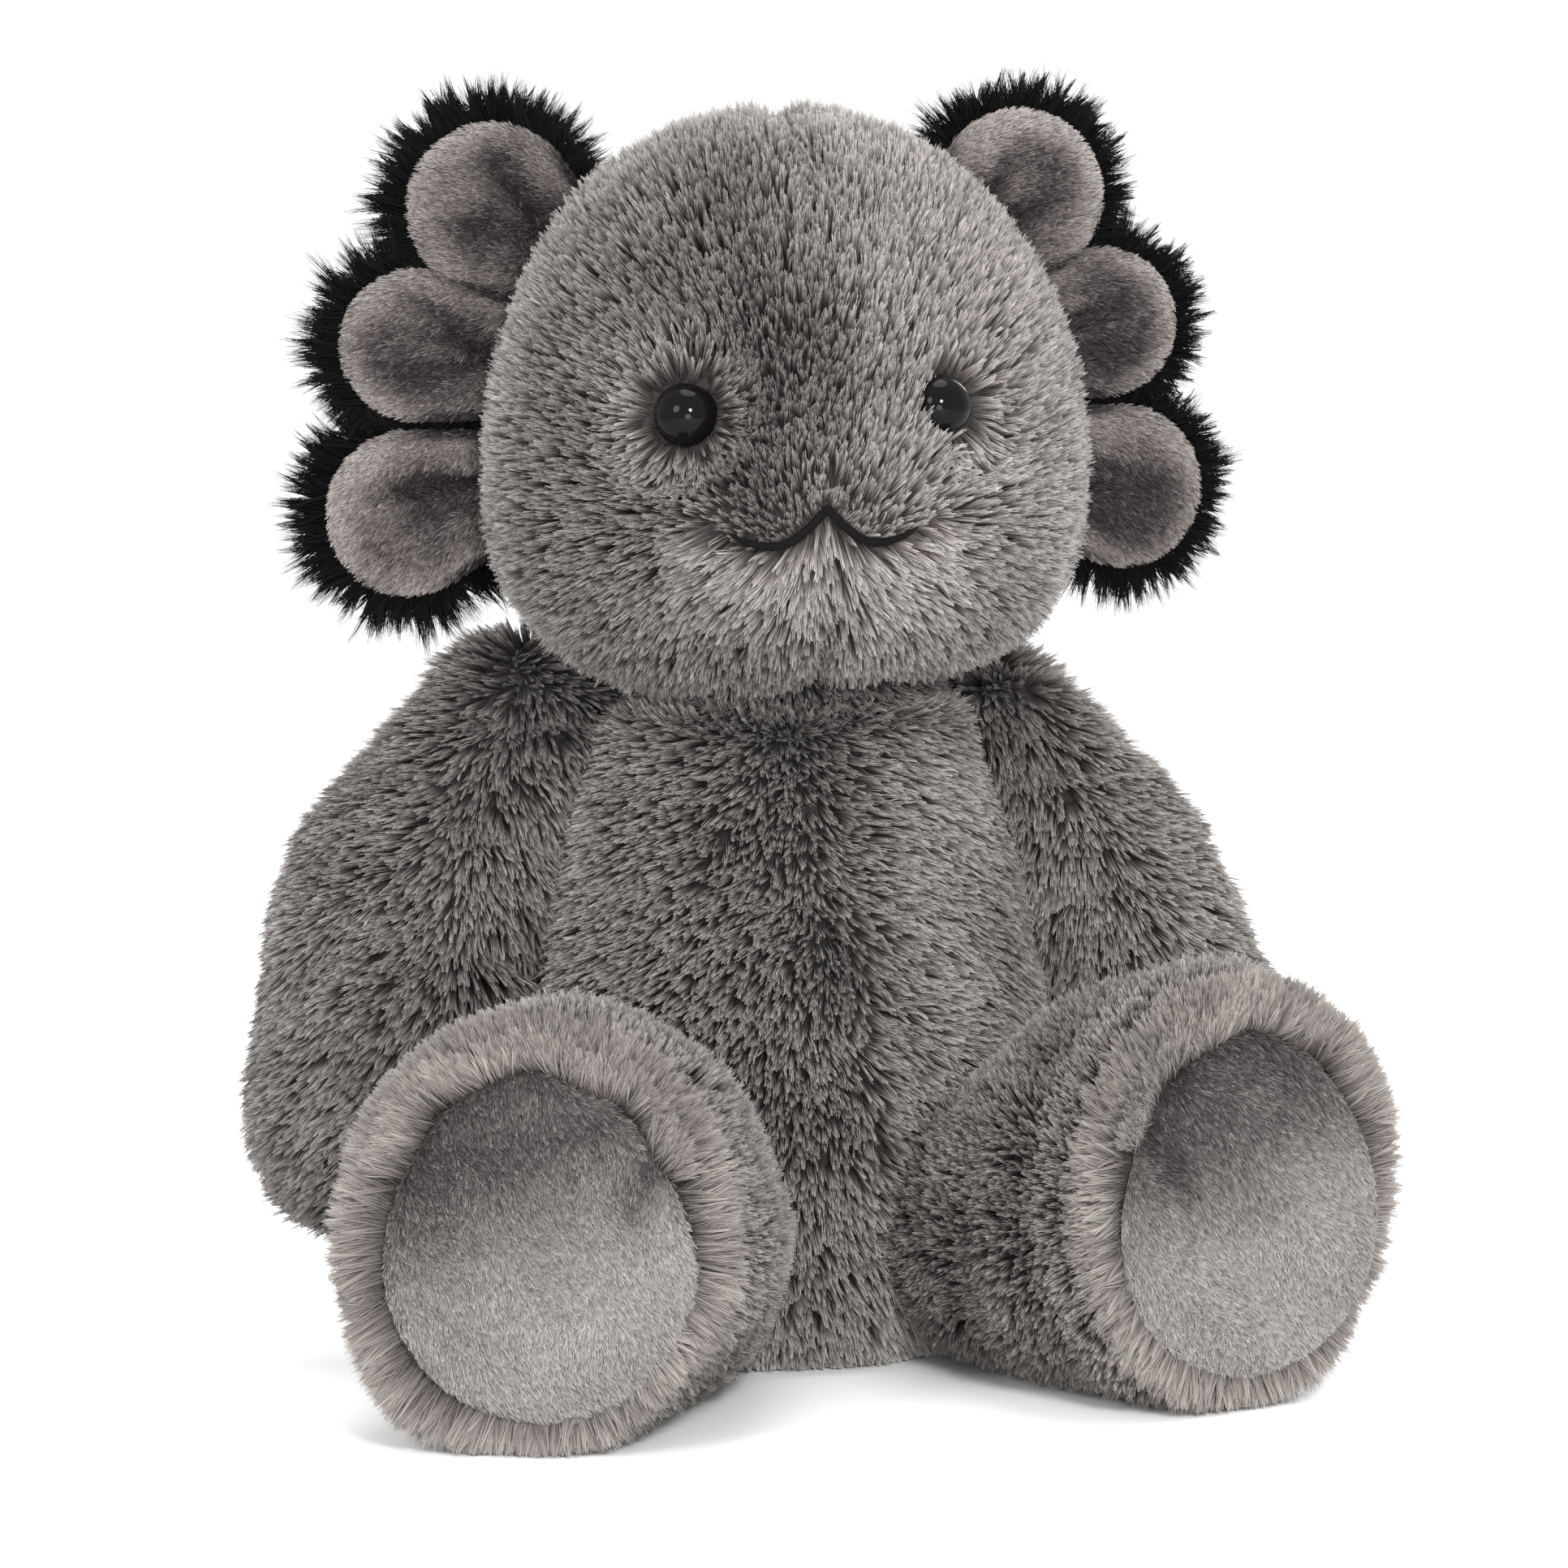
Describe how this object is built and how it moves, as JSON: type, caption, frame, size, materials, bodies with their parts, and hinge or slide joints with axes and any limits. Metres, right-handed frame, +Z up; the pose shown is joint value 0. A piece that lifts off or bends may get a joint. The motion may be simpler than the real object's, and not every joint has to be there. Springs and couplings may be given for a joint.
{
  "type": "plush axolotl",
  "caption": "Seated soft toy axolotl in long grey fur, with frilled gills on the sides of its head, glossy domed eyes, a stitched mouth and smooth velour sole pads.",
  "frame": {"origin": "centre of the flat face under the torso, on the surface that the toy sits on", "axes": "+Z up, -Y the way the toy faces, +X towards its own left side"},
  "size_m": [0.2526, 0.265, 0.2925],
  "materials": {
    "grey_fur": "long pile fur fabric",
    "gill_velour": "short pile velour",
    "gill_black_fur": "shaggy pile fur fabric",
    "sole_velour": "short pile velour",
    "polyester_fibre": "loose fibre filling",
    "bag_cloth": "plain woven cloth",
    "eye_plastic": "polished",
    "washer_plastic": "moulded",
    "black_thread": "satin stitch"
  },
  "bodies": {
    "torso": {"belly_left": "grey_fur", "belly_right": "grey_fur", "back_panel": "grey_fur", "seat_panel": "grey_fur", "torso_stuffing": "polyester_fibre", "pellet_bag": "bag_cloth"},
    "neck": {"neck_stuffing": "polyester_fibre"},
    "head": {"face_left": "grey_fur", "face_right": "grey_fur", "head_back": "grey_fur", "head_stuffing": "polyester_fibre", "mouth_stitching": "black_thread", "eye_left": "eye_plastic", "eye_right": "eye_plastic", "eye_washer_left": "washer_plastic", "eye_washer_right": "washer_plastic"},
    "tail": {"tail_skin": "grey_fur", "tail_stuffing": "polyester_fibre"},
    "arm_left": {"arm_left_skin": "grey_fur", "arm_left_stuffing": "polyester_fibre"},
    "leg_left": {"leg_left_skin": "grey_fur", "leg_left_stuffing": "polyester_fibre", "sole_pad_left": "sole_velour"},
    "gill_left_upper": {"gill_left_upper_front": "gill_velour", "gill_left_upper_back": "gill_black_fur"},
    "gill_left_middle": {"gill_left_middle_front": "gill_velour", "gill_left_middle_back": "gill_black_fur"},
    "gill_left_lower": {"gill_left_lower_front": "gill_velour", "gill_left_lower_back": "gill_black_fur"},
    "arm_right": {"arm_right_skin": "grey_fur", "arm_right_stuffing": "polyester_fibre"},
    "leg_right": {"leg_right_skin": "grey_fur", "leg_right_stuffing": "polyester_fibre", "sole_pad_right": "sole_velour"},
    "gill_right_upper": {"gill_right_upper_front": "gill_velour", "gill_right_upper_back": "gill_black_fur"},
    "gill_right_middle": {"gill_right_middle_front": "gill_velour", "gill_right_middle_back": "gill_black_fur"},
    "gill_right_lower": {"gill_right_lower_front": "gill_velour", "gill_right_lower_back": "gill_black_fur"}
  },
  "joints": [
    {"name": "neck_turn", "type": "hinge", "parent": "torso", "child": "neck", "pos_m": [0.002, -0.008, 0.178], "axis": [0, 0, 1], "range_deg": [-30, 30], "stiffness_Nm_per_rad": 0.15},
    {"name": "neck_nod", "type": "hinge", "parent": "neck", "child": "head", "pos_m": [0.002, -0.008, 0.178], "axis": [1, 0, 0], "range_deg": [-4, 8], "stiffness_Nm_per_rad": 0.8},
    {"name": "arm_left_raise", "type": "hinge", "parent": "torso", "child": "arm_left", "pos_m": [0.06, 0.016, 0.146], "axis": [0, -1, 0], "range_deg": [0, 50], "stiffness_Nm_per_rad": 0.06},
    {"name": "leg_left_splay", "type": "hinge", "parent": "torso", "child": "leg_left", "pos_m": [0.042, -0.038, 0.032], "axis": [0, 0, 1], "range_deg": [-8, 25], "stiffness_Nm_per_rad": 0.12},
    {"name": "gill_left_upper_fold", "type": "hinge", "parent": "head", "child": "gill_left_upper", "pos_m": [0.04996, 0.012, 0.26516], "axis": [-0.6225, 0, 0.7826], "range_deg": [-22, 22], "stiffness_Nm_per_rad": 0.02},
    {"name": "gill_left_middle_fold", "type": "hinge", "parent": "head", "child": "gill_left_middle", "pos_m": [0.06479, 0.012, 0.23854], "axis": [-0.2164, 0, 0.9763], "range_deg": [-22, 22], "stiffness_Nm_per_rad": 0.02},
    {"name": "gill_left_lower_fold", "type": "hinge", "parent": "head", "child": "gill_left_lower", "pos_m": [0.06932, 0.012, 0.20737], "axis": [0.2164, 0, 0.9763], "range_deg": [-22, 22], "stiffness_Nm_per_rad": 0.02},
    {"name": "arm_right_raise", "type": "hinge", "parent": "torso", "child": "arm_right", "pos_m": [-0.06, 0.016, 0.146], "axis": [0, 1, 0], "range_deg": [0, 50], "stiffness_Nm_per_rad": 0.06},
    {"name": "leg_right_splay", "type": "hinge", "parent": "torso", "child": "leg_right", "pos_m": [-0.042, -0.038, 0.032], "axis": [0, 0, -1], "range_deg": [-8, 25], "stiffness_Nm_per_rad": 0.12},
    {"name": "gill_right_upper_fold", "type": "hinge", "parent": "head", "child": "gill_right_upper", "pos_m": [-0.05045, 0.012, 0.26253], "axis": [-0.5807, 0, -0.8141], "range_deg": [-22, 22], "stiffness_Nm_per_rad": 0.02},
    {"name": "gill_right_middle_fold", "type": "hinge", "parent": "head", "child": "gill_right_middle", "pos_m": [-0.06387, 0.012, 0.23517], "axis": [-0.165, 0, -0.9863], "range_deg": [-22, 22], "stiffness_Nm_per_rad": 0.02},
    {"name": "gill_right_lower_fold", "type": "hinge", "parent": "head", "child": "gill_right_lower", "pos_m": [-0.06676, 0.012, 0.2038], "axis": [0.2672, 0, -0.9636], "range_deg": [-22, 22], "stiffness_Nm_per_rad": 0.02},
    {"name": "tail_swing", "type": "hinge", "parent": "torso", "child": "tail", "pos_m": [0, 0.044, 0.03], "axis": [0, 0, 1], "range_deg": [-20, 20], "stiffness_Nm_per_rad": 0.05}
  ]
}
